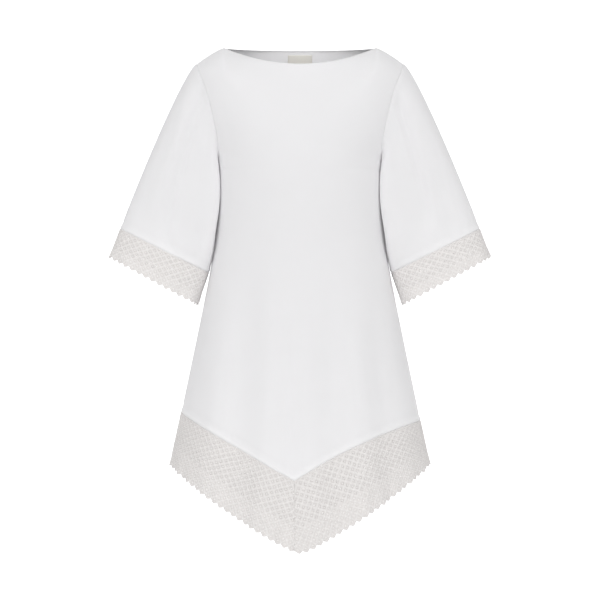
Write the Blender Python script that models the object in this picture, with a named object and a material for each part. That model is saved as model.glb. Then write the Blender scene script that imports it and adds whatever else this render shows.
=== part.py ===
# White dress with wide sleeves, lace cuffs and a pointed lace hem, hollow and filled out
# The wearer faces -Y, +X is the picture's right and +Z is up. The origin is between the shoulders.
# The front and back are arcs of ellipses from the neck to a slanted seam, and the hem lace carries them on.
# Each sleeve runs from its armhole to its cuff seam along smooth lines. All sizes are in metres.

import math

import bmesh
import bpy
import numpy as np

# Driving sizes
wall = 0.0016  # cloth, thicker than the real cloth so that it is a solid
lace_wall = 0.0014
label_wall = 0.0010
seam_gap = 0.0003
shoulder_x = 0.196  # where shoulder seam and sleeve meet, from the centre
shoulder_z = -0.0305
neck_x = 0.144  # neck corner, from the centre; its height is the origin's
front_neck_drop = 0.0372
neck_reach = {-1: 0.072, 1: 0.055}  # neck edge before and behind the shoulder seam, at the centre
neck_fullness = 0.8
neck_closing = 0.17  # height in which the chest rounds to the neck edge
shoulder_closing = 0.055
shoulder_spread = 1.5  # above 1 the neck's rounding reaches further towards the shoulder
shoulder_fullness = 0.5  # 1 keeps the shoulder as round as the neck
underarm_z = -0.235
armhole_middle_z = -0.130
armhole_reach = 0.055
seam_side_x = 0.227  # lace seam at the side seams and at its point
seam_side_z = {-1: -0.692, 1: -0.708}
seam_point_z = -0.8135
seam_bow = {-1: 0.0, 1: 0.45}  # above 0 a slanted line is steeper near the point
hem_side_x = 0.247
hem_side_z = -0.790
hem_point_z = -0.944
hem_bow = -0.20
hem_point_round = 0.05  # share of the half width over which the point is rounded
mitre_shift = -0.0105  # the front point lies this far to the left of the centre
shift_top_z = -0.45
shift_length = 0.35
scallop_pitch = 0.0144
scallop_depth = 0.0042
scallop_middle = 0.6  # share of the depth at which the hem's line runs

# Grid counts
neck_columns = 9
shoulder_columns = 4
armhole_rows = 12
skirt_rows = 9
sleeve_rows = 11
hem_lace_rows = 2
cuff_lace_rows = 2
points_a_scallop = 3
fine_steps = 200  # for measuring along an edge
small_step = 0.0015  # between the points a normal is worked out from, and the same in radians
small_angle = 0.02
line_rounds = 12  # enough to settle where a column meets a slanted line

# The body at each height: half width, front depth and back depth
body_sections = (
    (0.0200, 0.1960, 0.092, 0.078),
    (-0.0305, 0.1960, 0.096, 0.084),
    (-0.0900, 0.1755, 0.106, 0.094),
    (-0.1560, 0.1595, 0.117, 0.101),
    (-0.2050, 0.1530, 0.121, 0.102),
    (-0.2350, 0.1572, 0.121, 0.101),
    (-0.2900, 0.1580, 0.118, 0.098),
    (-0.3600, 0.1612, 0.114, 0.098),
    (-0.4100, 0.1680, 0.115, 0.102),
    (-0.4535, 0.1760, 0.118, 0.107),
    (-0.6670, 0.2200, 0.133, 0.123),
    (-0.7900, 0.2467, 0.142, 0.132),
    (-0.9700, 0.2850, 0.155, 0.145),
)

# Folds of the front and back: x and height at the top, x at the hem point's height, half width, rise
front_folds = (
    (-0.128, -0.40, -0.196, 0.026, 0.005),
    (-0.085, -0.30, -0.124, 0.027, -0.007),
    (-0.046, -0.36, -0.064, 0.024, 0.005),
    (-0.014, -0.44, -0.024, 0.016, -0.003),
    (0.008, -0.40, 0.014, 0.022, 0.004),
    (0.052, -0.42, 0.074, 0.026, -0.004),
    (0.096, -0.33, 0.128, 0.026, 0.004),
    (0.125, -0.38, 0.186, 0.024, -0.005),
)
back_folds = (
    (-0.120, -0.36, -0.176, 0.026, -0.006),
    (-0.072, -0.42, -0.108, 0.028, 0.006),
    (-0.030, -0.32, -0.040, 0.022, -0.005),
    (0.022, -0.44, 0.030, 0.024, 0.005),
    (0.078, -0.36, 0.110, 0.027, -0.007),
    (0.126, -0.40, 0.182, 0.024, 0.005),
)
fold_fade = 0.25  # height over which a fold comes up to its full rise

# Sleeve at +X: top of the cuff lace and its lower edge, outer end then inner end, as x and height
cuff_outer = (0.3415, -0.3445)
cuff_inner = (0.1745, -0.4280)
edge_outer = (0.3615, -0.3980)
edge_inner = (0.1950, -0.4880)
cuff_reach = 0.052  # half depth of the sleeve's end, front to back
edge_reach = 0.055
ring_fullness = 0.72  # below 1 the ring is squarer than an ellipse
cap_run = 0.018  # how far the sleeve follows the shoulder before it turns down
underarm_run = 0.030
cuff_run = 0.080  # how far it runs straight into the cuff, on the outer and the inner side
inner_cuff_run = 0.015
crease_lift = 0.6  # how far the sleeve turns out of the body at the underarm
ring_spacing = 1.3  # above 1 the rings lie closer near the armhole
overlap_side = 0.032  # the sleeve's two inner folds hang this far over the body's side
overlap_reach = 0.014  # and stand this far out before and behind it
overlap_middle = 0.50  # share of the sleeve at which they hang fully, and how gently they come and go
overlap_length = 0.42

# Sleeve folds: side, ring share and angle at the top, the same at the end, half width in degrees, rise
sleeve_folds = (
    (-1, 0.00, 62, 0.95, 92, 10, -0.0050),
    (-1, 0.20, 50, 0.85, 68, 13, 0.0035),
    (-1, 0.60, 118, 1.00, 127, 10, -0.0035),
    (-1, 0.15, 246, 0.95, 262, 12, -0.0045),
    (-1, 0.30, 290, 1.00, 284, 12, 0.0030),
    (1, 0.05, 66, 0.80, 90, 11, -0.0045),
    (1, 0.15, 118, 0.80, 122, 13, 0.0035),
    (1, 0.55, 60, 1.00, 66, 12, -0.0025),
    (1, 0.10, 286, 0.90, 270, 12, -0.0045),
    (1, 0.35, 240, 1.00, 236, 12, 0.0030),
)
fold_ease = 0.15  # share of the sleeve over which a fold comes and goes
fold_end = 0.35  # above 0 a fold is still there where it ends, at the cuff

# Label, inside the back neck
label_width = 0.046
label_top_z = -0.0085
label_height = 0.026
label_columns = 6
label_rows = 3


def table(rows, at, column):
    """A column of a table, read between its rows along a smooth curve."""
    keys = [-row[0] for row in rows]
    values = [row[column] for row in rows]
    at = min(max(-at, keys[0]), keys[-1])
    i = min(max(int(np.searchsorted(keys, at)) - 1, 0), len(keys) - 2)

    def slope(k):
        a, b = max(k - 1, 0), min(k + 1, len(keys) - 1)
        return (values[b] - values[a]) / (keys[b] - keys[a])

    step = keys[i + 1] - keys[i]
    t = (at - keys[i]) / step
    start = (1 + 2 * t) * (1 - t) ** 2 * values[i] + t * (1 - t) ** 2 * step * slope(i)
    end = t * t * (3 - 2 * t) * values[i + 1] + t * t * (t - 1) * step * slope(i + 1)
    return start + end


def ease(t):
    t = min(max(t, 0.0), 1.0)
    return t * t * (3 - 2 * t)


def unit(v):
    return v / max(float(np.linalg.norm(v)), 1e-12)


def bump(distance, half_width):
    return math.exp(-((distance / half_width) ** 2))


# The body's surface: side -1 is the front, +1 the back, and across runs from -1 to 1


def arc(side, z):
    """Half width, depth and half angle of the panel's arc at a height."""
    half_width = table(body_sections, z, 1)
    depth = table(body_sections, z, 2 if side < 0 else 3)
    below = min(max((armhole_middle_z - z) / (armhole_middle_z - underarm_z), 0.0), 1.0)
    reach = armhole_reach * math.sqrt(1 - below * below)
    return half_width, depth, math.acos(reach / depth)


def across_to_x(side, across, z):
    half_width, _, half_angle = arc(side, z)
    x = half_width * math.sin(across * half_angle) / math.sin(half_angle)
    if side < 0:
        x += mitre_shift * ease((shift_top_z - z) / shift_length) * (1 - abs(across))
    return x


def top_z(side, x):
    """Height of the neck edge and, outside it, of the shoulder seam."""
    if abs(x) >= neck_x:
        return shoulder_z * (abs(x) - neck_x) / (shoulder_x - neck_x)
    if side > 0:
        return 0.0
    return -front_neck_drop * (1 - (x / neck_x) ** 2)


def top_reach(side, x):
    if abs(x) >= neck_x:
        return 0.0
    return neck_reach[side] * (1 - (x / neck_x) ** 2) ** neck_fullness


def fold_rise(side, x, z):
    rise = 0.0
    for top_x, fold_top_z, hem_x, half_width, height in front_folds if side < 0 else back_folds:
        down = (fold_top_z - z) / (fold_top_z - hem_point_z)
        if down > 0:
            centre = top_x + (hem_x - top_x) * down
            rise += height * ease((fold_top_z - z) / fold_fade) * bump(x - centre, half_width)
    return rise


def body_point(side, across, z):
    _, depth, half_angle = arc(side, z)
    x = across_to_x(side, across, z)
    y = depth * math.cos(across * half_angle)
    near_shoulder = min(abs(x) / neck_x, 1.0) ** shoulder_spread
    closing = neck_closing + (shoulder_closing - neck_closing) * near_shoulder
    below_top = min(max((top_z(side, x) - z) / closing, 0.0), 1.0)
    roundness = 1 - (1 - shoulder_fullness) * near_shoulder
    start = top_reach(side, x)
    y = start + (y - start) * (1 - (1 - below_top) ** 2) ** roundness
    y += fold_rise(side, x, z) * (1 - across**4)
    return np.array((x, side * (y + seam_gap / 2), z))


def body_normal(side, across, z):
    """Outward normal, from points a little to each side."""
    small = small_step
    side_step = min(max(across, -1 + small), 1 - small)
    height = min(z, top_z(side, across_to_x(side, side_step, z)) - small)
    along = body_point(side, side_step + small, height) - body_point(side, side_step - small, height)
    down = body_point(side, side_step, height - small) - body_point(side, side_step, height + small)
    return unit(np.cross(down, along) if side < 0 else np.cross(along, down))


def solved_z(side, across, line):
    """The height at which a column meets a line that gives the height for an x."""
    z = 0.0
    for _ in range(line_rounds):
        z = line(across_to_x(side, across, z))
    return z


def slanted(share, point_z, side_z, bow):
    """Height along a slanted line, from its point at share 0 to the side seam at share 1."""
    return point_z + (side_z - point_z) * share * (1 + bow - bow * share)


def seam_z(side, across):
    """Height of the slanted seam between cloth and lace."""
    hand = -1 if across < 0 else 1
    point_x = mitre_shift if side < 0 else 0.0

    def line(x):
        share = min(abs(x - point_x) / abs(hand * seam_side_x - point_x), 1.0)
        return slanted(share, seam_point_z, seam_side_z[hand], seam_bow[hand])

    return seam_side_z[hand] if abs(across) == 1 else solved_z(side, across, line)


def hem_z(side, across):
    """Height of the scalloped edge's middle line, which is the same to left and right."""
    r = hem_point_round

    def line(x):
        share = min(abs(x) / hem_side_x, 1.0)
        rounded = (math.hypot(share, r) - r) / (math.hypot(1, r) - r)
        return slanted(rounded, hem_point_z, hem_side_z, hem_bow)

    return hem_side_z if abs(across) == 1 else solved_z(side, across, line)


# Armholes and sleeves: angle 0 is the shoulder point, pi the underarm, and 0 to pi runs over the front


def armhole_z(angle):
    return shoulder_z + (underarm_z - shoulder_z) * (1 - math.cos(angle)) / 2


def armhole(hand, angle):
    """Point of the armhole seam, the body's normal there, and the direction out of the body along the cloth."""
    side = -1 if angle <= math.pi else 1
    z = armhole_z(angle)
    point = body_point(side, hand, z)
    normal = body_normal(side, hand, z)
    small = small_angle
    nearer = min(max(angle, small), math.pi - small) if side < 0 else max(angle, math.pi + small)
    nearer = min(nearer, 2 * math.pi - small)
    edge = body_point(side, hand, armhole_z(nearer + small)) - body_point(side, hand, armhole_z(nearer - small))
    if abs(math.sin(angle)) < 0.01:
        normal = unit(normal * np.array((1, 0, 1)))
        edge = np.array((0, -1.0 if math.cos(angle) > 0 else 1.0, 0))
    out = unit(np.cross(edge, normal))
    inward = body_point(side, hand * 0.9, z) - point
    if math.cos(angle) < -0.99:
        inward = np.array((0, 0, -1.0))
    if np.dot(out, inward) > 0:
        out = -out
    return point, normal, out


def crease(angle):
    """How sharply the sleeve turns out of the body: not at the shoulder, most at the underarm."""
    return crease_lift * ease((1 - math.cos(angle)) / 2)


def seam_normal(hand, angle):
    """The normal half way between body and sleeve, which both walls share at the armhole."""
    _, normal, out = armhole(hand, angle)
    sleeve_normal = unit(normal - crease(angle) * out)
    return unit(normal + sleeve_normal)


def ring_point(hand, angle, outer, inner, reach):
    """A point of a sleeve's ring between its outer and inner ends."""
    c, s = math.cos(angle), math.sin(angle)
    middle = [(a + b) / 2 for a, b in zip(outer, inner)]
    half = [(a - b) / 2 for a, b in zip(outer, inner)]
    y = -math.copysign(abs(s) ** ring_fullness, s) * reach
    return np.array((hand * (middle[0] + c * half[0]), y, middle[1] + c * half[1]))


def cuff_point(hand, angle):
    return ring_point(hand, angle, cuff_outer, cuff_inner, cuff_reach)


def edge_point(hand, angle):
    return ring_point(hand, angle, edge_outer, edge_inner, edge_reach)


def cuff_out(hand, angle):
    return unit(edge_point(hand, angle) - cuff_point(hand, angle))


def cuff_normal(hand, angle):
    around = cuff_point(hand, angle + small_angle) - cuff_point(hand, angle - small_angle)
    return unit(np.cross(around, cuff_out(hand, angle)) * hand)


def sleeve_point(hand, angle, share):
    """A point of the sleeve on its smooth line from armhole to cuff."""
    point, normal, out = armhole(hand, angle)
    leave = unit(out + crease(angle) * normal)
    inner = ease((1 - math.cos(angle)) / 2)
    run = cap_run + (underarm_run - cap_run) * inner
    start = point + seam_gap * leave
    end = cuff_point(hand, angle)
    last_run = cuff_run + (inner_cuff_run - cuff_run) * inner
    a, b = start + run * leave, end - last_run * cuff_out(hand, angle)
    t = share
    p = (1 - t) ** 3 * start + 3 * (1 - t) ** 2 * t * a + 3 * (1 - t) * t * t * b + t**3 * end
    hang = math.sin(2 * angle) ** 2 if math.cos(angle) < 0 else 0.0
    hang *= bump(share - overlap_middle, overlap_length) * math.sin(math.pi * share)
    p[0] -= hand * overlap_side * hang
    p[1] -= math.copysign(overlap_reach, math.sin(angle)) * hang
    return p


def sleeve_rise(hand, angle, share):
    rise = 0.0
    degrees = math.degrees(angle)
    for fold_hand, first, first_angle, last, last_angle, half_width, height in sleeve_folds:
        if fold_hand == hand:
            along = (share - first) / (last - first)
            centre = first_angle + (last_angle - first_angle) * along
            come_and_go = ease((share - first) / fold_ease) * ease((last - share) / fold_ease + fold_end)
            rise += height * come_and_go * bump(degrees - centre, half_width)
    return rise


# Making closed walls


def material(name, colour, roughness):
    m = bpy.data.materials.new(name)
    m.use_nodes = True
    shader = m.node_tree.nodes["Principled BSDF"]
    shader.inputs["Base Color"].default_value = (*colour, 1)
    shader.inputs["Roughness"].default_value = roughness
    return m


def make_wall(name, outer, normals, thickness, finish, ring=False):
    """A closed wall from a grid of outer points; a ring's last column joins its first."""
    outer, normals = np.array(outer), np.array(normals)
    rows, columns = outer.shape[:2]
    mesh = bpy.data.meshes.new(name)
    b = bmesh.new()
    skins = []
    for points in (outer, outer - normals * thickness):
        skins.append([[b.verts.new(p) for p in row] for row in points])
    last = columns if ring else columns - 1
    for skin in skins:
        for i in range(rows - 1):
            for j in range(last):
                k = (j + 1) % columns
                b.faces.new((skin[i][j], skin[i][k], skin[i + 1][k], skin[i + 1][j]))
    for i in (0, rows - 1):
        for j in range(last):
            k = (j + 1) % columns
            b.faces.new((skins[0][i][j], skins[0][i][k], skins[1][i][k], skins[1][i][j]))
    if not ring:
        for i in range(rows - 1):
            for j in (0, columns - 1):
                b.faces.new((skins[0][i][j], skins[0][i + 1][j], skins[1][i + 1][j], skins[1][i][j]))
    bmesh.ops.recalc_face_normals(b, faces=b.faces)
    b.to_mesh(mesh)
    b.free()
    mesh.shade_smooth()
    mesh.set_sharp_from_angle(angle=math.radians(40))
    mesh.materials.append(finish)
    piece = bpy.data.objects.new(name, mesh)
    bpy.context.collection.objects.link(piece)
    return piece


def grid_normals(points, hand):
    """Normals of a sleeve's grid, rings of columns, from its neighbours."""
    down = np.gradient(points, axis=0)
    around = np.roll(points, -1, axis=1) - np.roll(points, 1, axis=1)
    normals = np.cross(around, down) * hand
    return normals / np.linalg.norm(normals, axis=2, keepdims=True)


def build_panel(name, side, finish):
    """Front or back of the dress, from neck, shoulders and armholes to the slanted seam."""
    half_angle = arc(side, 0.0)[2]
    corner = math.asin(neck_x / shoulder_x * math.sin(half_angle)) / half_angle
    inner = np.linspace(0, corner, neck_columns + 1)
    outer = np.linspace(corner, 1, shoulder_columns + 1)[1:]
    half = list(inner) + list(outer)
    columns = [-a for a in half[:0:-1]] + half
    points, normals = [], []
    for row in range(armhole_rows + skirt_rows + 1):
        row_points, row_normals = [], []
        for across in columns:
            top = solved_z(side, across, lambda x: top_z(side, x))
            if row < armhole_rows:
                z = top + (underarm_z - top) * (1 - math.cos(math.pi * row / armhole_rows)) / 2
            else:
                z = underarm_z + (seam_z(side, across) - underarm_z) * (row - armhole_rows) / skirt_rows
            normal = body_normal(side, across, z)
            on_shoulder = row == 0 and corner - 1e-6 <= abs(across) < 1
            on_side_seam = abs(across) == 1 and row >= armhole_rows
            if abs(across) == 1 and row <= armhole_rows:
                angle = math.pi * row / armhole_rows
                normal = seam_normal(across, angle if side < 0 else 2 * math.pi - angle)
            if on_shoulder or on_side_seam or (abs(across) == 1 and row == 0):
                normal = unit(normal * np.array((1, 0, 1)))
            row_points.append(body_point(side, across, z))
            row_normals.append(normal)
        points.append(row_points)
        normals.append(row_normals)
    make_wall(name, points, normals, wall, finish)


def build_sleeve(name, hand, finish):
    columns = 2 * armhole_rows
    angles = [2 * math.pi * j / columns for j in range(columns)]
    shares = [(i / sleeve_rows) ** ring_spacing for i in range(sleeve_rows + 1)]
    points = np.array([[sleeve_point(hand, a, s) for a in angles] for s in shares])
    normals = grid_normals(points, hand)
    rises = [[sleeve_rise(hand, a, s) for a in angles] for s in shares]
    points += normals * np.array(rises)[:, :, None]
    normals = grid_normals(points, hand)
    for j, a in enumerate(angles):
        normals[0][j] = seam_normal(hand, a)
        normals[-1][j] = cuff_normal(hand, a)
    make_wall(name, points, normals, wall, finish, ring=True)


def even_steps(points, count):
    """Shares of a line's own range that cut it into equal lengths."""
    lengths = np.linalg.norm(np.diff(points, axis=0), axis=1)
    run = np.concatenate(([0], np.cumsum(lengths)))
    return np.interp(np.linspace(0, run[-1], count + 1), run, np.linspace(0, 1, len(points))), run[-1]


def scallop(step):
    """How far the edge hangs at one of the scallop's points: 0 in the notch, 1 on the round."""
    return (0.0 if step % points_a_scallop == 0 else 1.0) - scallop_middle


def scallops_along(length):
    return points_a_scallop * round(length / scallop_pitch)


def build_cuff_lace(name, hand, finish):
    fine = [edge_point(hand, 2 * math.pi * i / fine_steps) for i in range(fine_steps + 1)]
    count = scallops_along(even_steps(fine, 1)[1])
    shares = even_steps(fine, count)[0][:-1]
    points, normals = [], []
    for row in range(cuff_lace_rows + 1):
        down = row / cuff_lace_rows
        ring = []
        for step, share in enumerate(shares):
            angle = 2 * math.pi * share
            top, out = cuff_point(hand, angle), cuff_out(hand, angle)
            top = top + seam_gap * out
            low = edge_point(hand, angle) + scallop_depth * scallop(step) * out
            ring.append(top + (low - top) * down)
        points.append(ring)
        normals.append([cuff_normal(hand, 2 * math.pi * share) for share in shares])
    make_wall(name, points, normals, lace_wall, finish, ring=True)


def build_hem_lace(name, side, hand, finish):
    """A strip of wide lace from the side seam to the mitre at the point."""
    fine = []
    for i in range(fine_steps + 1):
        across = hand * (1 - i / fine_steps)
        fine.append(body_point(side, across, hem_z(side, across)))
    count = scallops_along(even_steps(fine, 1)[1])
    shares = even_steps(fine, count)[0]
    points, normals = [], []
    for row in range(hem_lace_rows + 1):
        down = row / hem_lace_rows
        row_points, row_normals = [], []
        for step, share in enumerate(shares):
            across = hand * (1 - share)
            top = seam_z(side, across) - seam_gap
            low = hem_z(side, across) - scallop_depth * scallop(step)
            z = top + (low - top) * down
            point, normal = body_point(side, across, z), body_normal(side, across, z)
            if step == 0:
                normal = unit(normal * np.array((1, 0, 1)))
            if step == count:
                normal = unit(normal * np.array((0, 1, 1)))
                point[0] += hand * seam_gap / 2
            row_points.append(point)
            row_normals.append(normal)
        points.append(row_points)
        normals.append(row_normals)
    make_wall(name, points, normals, lace_wall, finish)


def build_label(name, finish):
    """A blank label, made from the back panel's points moved in."""
    top_angle = arc(1, label_top_z)[2]
    width_share = math.asin(label_width / 2 / shoulder_x * math.sin(top_angle)) / top_angle
    points, normals = [], []
    for i in range(label_rows + 1):
        z = label_top_z - label_height * i / label_rows
        row_points, row_normals = [], []
        for j in range(label_columns + 1):
            across = width_share * (2 * j / label_columns - 1)
            normal = body_normal(1, across, z)
            row_points.append(body_point(1, across, z) - normal * (wall + seam_gap))
            row_normals.append(normal)
        points.append(row_points)
        normals.append(row_normals)
    make_wall(name, points, normals, label_wall, finish)


def build():
    for thing in list(bpy.data.objects):
        bpy.data.objects.remove(thing)
    cloth = material("white_cloth", (0.90, 0.90, 0.91), 0.85)
    lace = material("cream_lace", (0.82, 0.79, 0.75), 0.90)
    label = material("label_tape", (0.76, 0.74, 0.70), 0.60)
    build_panel("front_panel", -1, cloth)
    build_panel("back_panel", 1, cloth)
    for hand, word in ((-1, "left"), (1, "right")):
        build_sleeve(f"sleeve_{word}", hand, cloth)
        build_cuff_lace(f"cuff_lace_{word}", hand, lace)
        build_hem_lace(f"hem_lace_front_{word}", -1, hand, lace)
        build_hem_lace(f"hem_lace_back_{word}", 1, hand, lace)
    build_label("neck_label", label)


build()
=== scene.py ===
# White dress with wide sleeves, lace cuffs and a pointed lace hem, filled out with nobody in it
# Metres. The dress faces -Y, +X is the picture's right, and the origin is between the shoulders.

import math

import bpy
import numpy as np
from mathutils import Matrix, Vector


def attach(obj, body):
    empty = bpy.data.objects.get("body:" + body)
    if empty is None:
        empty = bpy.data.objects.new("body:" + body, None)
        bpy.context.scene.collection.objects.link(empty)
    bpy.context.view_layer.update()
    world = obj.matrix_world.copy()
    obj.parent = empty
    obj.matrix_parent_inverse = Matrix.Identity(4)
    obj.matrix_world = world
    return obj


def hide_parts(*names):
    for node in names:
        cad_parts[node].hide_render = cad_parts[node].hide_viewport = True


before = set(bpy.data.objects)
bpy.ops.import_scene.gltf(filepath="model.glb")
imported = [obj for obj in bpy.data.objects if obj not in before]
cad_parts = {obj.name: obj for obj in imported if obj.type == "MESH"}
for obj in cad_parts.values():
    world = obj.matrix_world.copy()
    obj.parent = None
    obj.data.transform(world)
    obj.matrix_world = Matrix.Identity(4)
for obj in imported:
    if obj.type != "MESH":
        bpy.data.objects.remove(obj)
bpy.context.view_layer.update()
seamGap = 0.0003  # between neighbouring pieces
hands = ((-1, "Left"), (1, "Right"))


# small sums used everywhere
def ease(t):
    t = np.clip(t, 0.0, 1.0)
    return t * t * (3 - 2 * t)


def bump(distance, halfWidth):
    return np.exp(-((distance / halfWidth) ** 2))


def unit(v):
    return v / np.maximum(np.linalg.norm(v, axis=-1, keepdims=True), 1e-12)


# lengths from the first point of each line of points along an axis
def runLengths(points, axis=0):
    steps = np.linalg.norm(np.diff(points, axis=axis), axis=-1)
    return np.concatenate((0 * steps.take([0], axis), np.cumsum(steps, axis=axis)), axis=axis)


# reads one column of a table of heights along a smooth curve
def readTable(rows, z, column):
    heights = np.array([-row[0] for row in rows])
    values = np.array([row[column] for row in rows])
    order = np.arange(len(rows))
    before, after = np.maximum(order - 1, 0), np.minimum(order + 1, len(rows) - 1)
    slopes = (values[after] - values[before]) / (heights[after] - heights[before])
    at = np.clip(-np.asarray(z, float), heights[0], heights[-1])
    i = np.clip(np.searchsorted(heights, at) - 1, 0, len(rows) - 2)
    step = heights[i + 1] - heights[i]
    t = (at - heights[i]) / step
    start = (1 + 2 * t) * (1 - t) ** 2 * values[i] + t * (1 - t) ** 2 * step * slopes[i]
    return start + t * t * (3 - 2 * t) * values[i + 1] + t * t * (t - 1) * step * slopes[i + 1]


# the body of the dress: side -1 is the front, +1 the back, and across runs from -1 to 1
body = {
    "solveRounds": 12,
    "onSide": 0.9999,  # from this share across, a point lies on the side seam
    "sections": (  # height, half width, front depth, back depth
        (0.0200, 0.1960, 0.092, 0.078),
        (-0.0305, 0.1960, 0.096, 0.084),
        (-0.0900, 0.1755, 0.106, 0.094),
        (-0.1560, 0.1595, 0.117, 0.101),
        (-0.2050, 0.1530, 0.121, 0.102),
        (-0.2350, 0.1572, 0.121, 0.101),
        (-0.2900, 0.1580, 0.118, 0.098),
        (-0.3600, 0.1612, 0.114, 0.098),
        (-0.4100, 0.1680, 0.115, 0.102),
        (-0.4535, 0.1760, 0.118, 0.107),
        (-0.6670, 0.2200, 0.133, 0.123),
        (-0.7900, 0.2467, 0.142, 0.132),
        (-0.9700, 0.2850, 0.155, 0.145),
    ),
    "shoulderX": 0.196, "shoulderZ": -0.0305, "shoulderRound": 1.25,
    "neckX": 0.144, "frontNeckDrop": 0.0372,
    "neckReach": {-1: 0.072, 1: 0.055},
    "neckFullness": 0.8, "neckClosing": 0.17,
    "shoulderClosing": 0.055, "shoulderSpread": 1.5, "shoulderFullness": 0.5,
    "underarmZ": -0.235, "armholeMiddleZ": -0.130, "armholeReach": 0.055,
    "mitreShift": -0.0105, "shiftTopZ": -0.45, "shiftLength": 0.35,
    "seamSideX": 0.227,
    "seamSideZ": {-1: -0.692, 1: -0.708},
    "seamPointZ": -0.8135,
    "seamBow": {-1: 0.0, 1: 0.45},
    "hemSideX": 0.247, "hemSideZ": -0.790, "hemPointZ": -0.944, "hemBow": -0.20, "hemPointRound": 0.05,
}

# soft folds: x and height at the top, x at the hem point's height, half width, rise, height of fading in
folds = {
    -1: (
        (-0.128, -0.40, -0.196, 0.026, 0.0050, 0.25),
        (-0.085, -0.30, -0.124, 0.027, -0.0070, 0.25),
        (-0.046, -0.36, -0.064, 0.024, 0.0050, 0.25),
        (-0.014, -0.44, -0.024, 0.016, -0.0030, 0.25),
        (0.008, -0.40, 0.014, 0.022, 0.0040, 0.25),
        (0.052, -0.42, 0.074, 0.026, -0.0040, 0.25),
        (0.096, -0.33, 0.128, 0.026, 0.0040, 0.25),
        (0.125, -0.38, 0.186, 0.024, -0.0050, 0.25),
        (-0.102, -0.56, -0.150, 0.010, -0.0012, 0.14),
        (-0.060, -0.60, -0.088, 0.009, 0.0011, 0.16),
        (0.030, -0.58, 0.042, 0.010, 0.0010, 0.18),
        (0.084, -0.62, 0.106, 0.009, -0.0009, 0.12),
        (0.118, -0.60, 0.158, 0.009, 0.0010, 0.12),
    ),
    1: (
        (-0.120, -0.36, -0.176, 0.026, -0.0060, 0.25),
        (-0.072, -0.42, -0.108, 0.028, 0.0060, 0.25),
        (-0.030, -0.32, -0.040, 0.022, -0.0050, 0.25),
        (0.022, -0.44, 0.030, 0.024, 0.0050, 0.25),
        (0.078, -0.36, 0.110, 0.027, -0.0070, 0.25),
        (0.126, -0.40, 0.182, 0.024, 0.0050, 0.25),
        (-0.094, -0.58, -0.140, 0.009, 0.0011, 0.14),
        (-0.010, -0.60, -0.012, 0.009, -0.0011, 0.16),
        (0.050, -0.56, 0.070, 0.010, 0.0011, 0.18),
        (0.102, -0.60, 0.146, 0.009, -0.0010, 0.12),
    ),
}
pullStart, pullEnd = 0.03, 0.04  # lengths over which a pull comes and goes
# shallow pulls of the chest and back, from one point to another: x, z, x, z, half width, rise
pulls = {
    -1: (
        (-0.150, -0.190, -0.095, -0.235, 0.010, -0.0012),
        (0.150, -0.190, 0.098, -0.240, 0.010, -0.0013),
        (-0.152, -0.215, -0.110, -0.300, 0.012, 0.0010),
        (0.151, -0.215, 0.116, -0.310, 0.012, 0.0010),
        (-0.135, -0.060, -0.090, -0.120, 0.013, -0.0009),
        (0.137, -0.060, 0.094, -0.126, 0.013, -0.0009),
        (-0.040, -0.280, 0.020, -0.330, 0.022, -0.0008),
        (0.040, -0.330, 0.090, -0.380, 0.020, -0.0008),
    ),
    1: (
        (-0.150, -0.190, -0.100, -0.240, 0.010, -0.0012),
        (0.150, -0.190, 0.096, -0.236, 0.010, -0.0012),
        (-0.130, -0.070, -0.080, -0.110, 0.014, -0.0010),
        (0.132, -0.070, 0.084, -0.114, 0.014, -0.0010),
        (-0.060, -0.300, 0.010, -0.330, 0.022, -0.0009),
    ),
}


def arc(side, z):
    halfWidth = readTable(body["sections"], z, 1)
    depth = readTable(body["sections"], z, 2 if side < 0 else 3)
    middle = body["armholeMiddleZ"]
    below = np.clip((middle - z) / (middle - body["underarmZ"]), 0.0, 1.0)
    reach = body["armholeReach"] * np.sqrt(1 - below * below)
    return halfWidth, depth, np.arccos(reach / depth)


def acrossToX(side, across, z):
    halfWidth, _, halfAngle = arc(side, z)
    x = halfWidth * np.sin(across * halfAngle) / np.sin(halfAngle)
    if side < 0:
        shifted = ease((body["shiftTopZ"] - z) / body["shiftLength"])
        x = x + body["mitreShift"] * shifted * (1 - np.abs(across))
    return x


def topZ(side, x):
    neckX = body["neckX"]
    share = np.maximum((np.abs(x) - neckX) / (body["shoulderX"] - neckX), 0.0)
    shoulder = body["shoulderZ"] * share ** body["shoulderRound"]
    neck = 0.0 if side > 0 else -body["frontNeckDrop"] * (1 - (x / neckX) ** 2)
    return np.where(np.abs(x) >= neckX, shoulder, neck)


def topReach(side, x):
    inside = np.clip(1 - (x / body["neckX"]) ** 2, 0.0, 1.0)
    return body["neckReach"][side] * inside ** body["neckFullness"]


def foldRise(side, x, z):
    rise = np.zeros(np.broadcast(x, z).shape)
    for foldX, foldTop, hemX, halfWidth, height, fade in folds[side]:
        down = (foldTop - z) / (foldTop - body["hemPointZ"])
        centre = foldX + (hemX - foldX) * down
        fold = height * ease((foldTop - z) / fade) * bump(x - centre, halfWidth)
        rise = rise + np.where(down > 0, fold, 0.0)
    for x0, z0, x1, z1, halfWidth, height in pulls[side]:
        length = math.hypot(x1 - x0, z1 - z0)
        along = ((x - x0) * (x1 - x0) + (z - z0) * (z1 - z0)) / length
        off = ((x - x0) * (z1 - z0) - (z - z0) * (x1 - x0)) / length
        first = ease(along / pullStart + 0.5)
        last = ease((length - along) / pullEnd + 0.5)
        rise = rise + height * bump(off, halfWidth) * first * last
    return rise


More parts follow.
